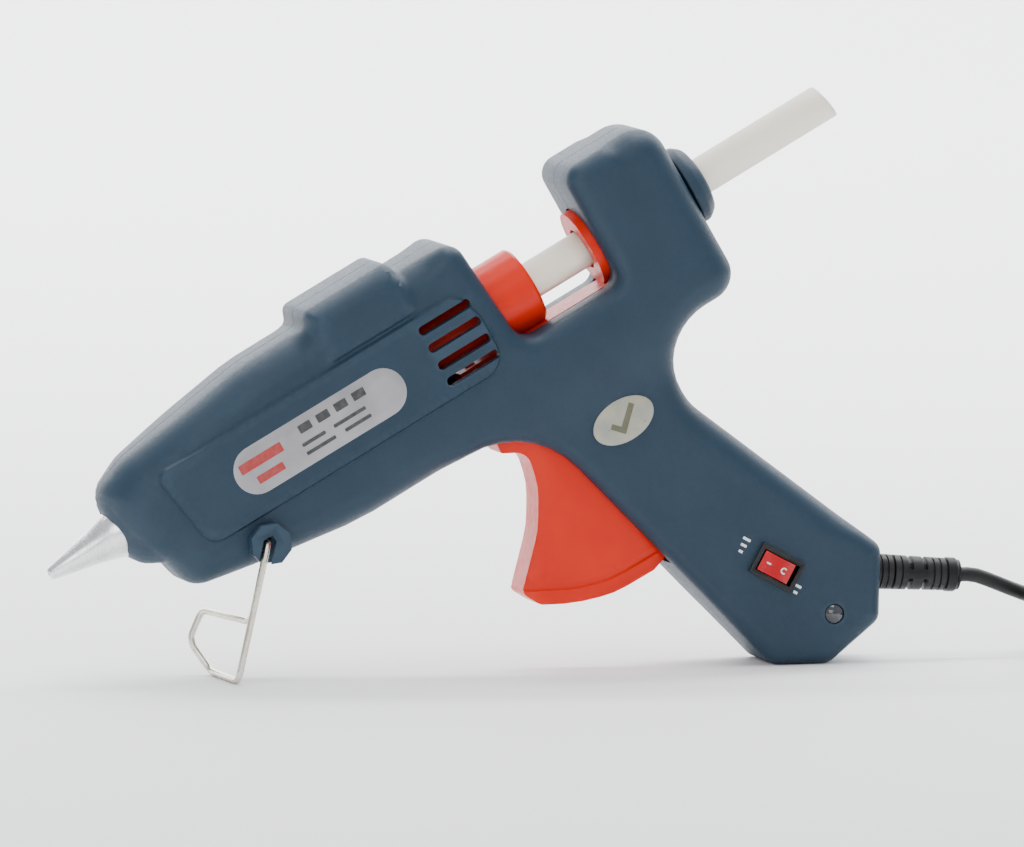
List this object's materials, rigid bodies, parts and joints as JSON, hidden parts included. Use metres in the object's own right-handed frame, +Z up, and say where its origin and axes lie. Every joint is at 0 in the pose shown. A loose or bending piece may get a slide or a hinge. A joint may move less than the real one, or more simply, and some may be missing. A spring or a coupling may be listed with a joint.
{
  "type": "hot-melt glue gun",
  "caption": "Corded hot-melt glue gun with trigger feed, wire stand, rocker switch and a glue stick loaded through its open-topped feed window.",
  "frame": {"origin": "on the table below the middle of the gun's own bounding box, cord left out", "axes": "+X from the nozzle to the rear of the barrel along the table, +Y across the gun from its left to its right side, +Z up"},
  "size_m": [0.3648, 0.0693, 0.1718],
  "materials": {
    "housing_blue": "fine-grained moulded plastic",
    "signal_orange": "smooth moulded plastic",
    "black_plastic": "moulded plastic",
    "cord_rubber": "smooth sheath",
    "steel": "zinc plated",
    "aluminium": "turned and cast",
    "ceramic": "foil-wrapped heater tablet",
    "phenolic": "heat-resisting board",
    "silicone": "soft matte",
    "glue_wax": "milky translucent hot-melt",
    "nickel_wire": "nickel-plated wire",
    "rocker_red": "translucent red",
    "smoked_lens": "smoked lens",
    "lamp_glass": "neon lamp bulb",
    "label_silver": "printed foil label",
    "label_foil": "printed foil label",
    "brass": "stamped",
    "lead_brown": "insulated lead",
    "lead_blue": "insulated lead"
  },
  "bodies": {
    "housing": {"left_shell": "housing_blue", "right_shell": "housing_blue", "shell_screw_1": "steel", "shell_screw_2": "steel", "shell_screw_3": "steel", "shell_screw_4": "steel", "shell_screw_5": "steel", "shell_screw_6": "steel", "shell_screw_7": "steel", "shell_screw_8": "steel", "nozzle": "aluminium", "melt_chamber": "aluminium", "front_insulator_ring": "phenolic", "rear_insulator_ring": "phenolic", "ptc_heater": "ceramic", "heater_clip": "steel", "inlet_sleeve": "silicone", "sleeve_clamp": "steel", "trigger_pin": "steel", "return_spring": "steel", "rear_collar": "housing_blue", "switch_body": "black_plastic", "switch_terminal_1": "brass", "switch_terminal_2": "brass", "lamp_lens": "smoked_lens", "lamp_bulb": "lamp_glass", "name_plate": "label_silver", "check_sticker": "label_foil", "cord_clamp": "black_plastic", "clamp_screw_1": "steel", "clamp_screw_2": "steel", "inner_cord": "cord_rubber", "lead_feed": "lead_brown", "lead_heater_live": "lead_brown", "lead_heater_neutral": "lead_blue", "strain_relief": "black_plastic", "power_cord": "cord_rubber", "cord_coil": "cord_rubber", "cord_tail": "cord_rubber", "plug_body": "black_plastic", "plug_blade_1": "brass", "plug_blade_2": "brass"},
    "trigger": {"trigger": "signal_orange"},
    "carriage": {"feed_carriage": "signal_orange", "drive_pin": "steel", "gripper_pin": "steel"},
    "gripper": {"gripper_lever": "steel"},
    "glue_stick": {"glue_stick": "glue_wax"},
    "stand": {"wire_stand": "nickel_wire"},
    "rocker": {"switch_rocker": "rocker_red"}
  },
  "joints": [
    {"name": "trigger_hinge", "type": "hinge", "parent": "housing", "child": "trigger", "pos_m": [0.02606, 0.0023, 0.0734], "axis": [0, -1, 0], "range_deg": [0, 20], "stiffness_Nm_per_rad": 0.8, "springref_deg": -8.59},
    {"name": "carriage_slide", "type": "slide", "parent": "housing", "child": "carriage", "axis": [-0.8686, 0, -0.4955], "range_m": [0, 0.0075], "deforming": ["return_spring"]},
    {"name": "gripper_hinge", "type": "hinge", "parent": "carriage", "child": "gripper", "pos_m": [0.02414, 0.0023, 0.09958], "axis": [0, 1, 0], "range_deg": [0, 4.1]},
    {"name": "glue_stick_slide", "type": "slide", "parent": "carriage", "child": "glue_stick", "axis": [0.8686, 0, 0.4955], "range_m": [0, 0.15]},
    {"name": "stand_hinge", "type": "hinge", "parent": "housing", "child": "stand", "pos_m": [-0.06368, -0.0179, 0.04201], "axis": [0, -1, 0], "range_deg": [0, 90]},
    {"name": "rocker_hinge", "type": "hinge", "parent": "housing", "child": "rocker", "pos_m": [0.09234, -0.0112, 0.02946], "axis": [0.4741, 0, 0.8805], "range_deg": [0, 20]}
  ],
  "couplings": [
    {"joint": "carriage_slide", "follows": "trigger_hinge", "m_per_rad": 0.021319},
    {"joint": "gripper_hinge", "follows": "trigger_hinge", "ratio": 0.2}
  ]
}
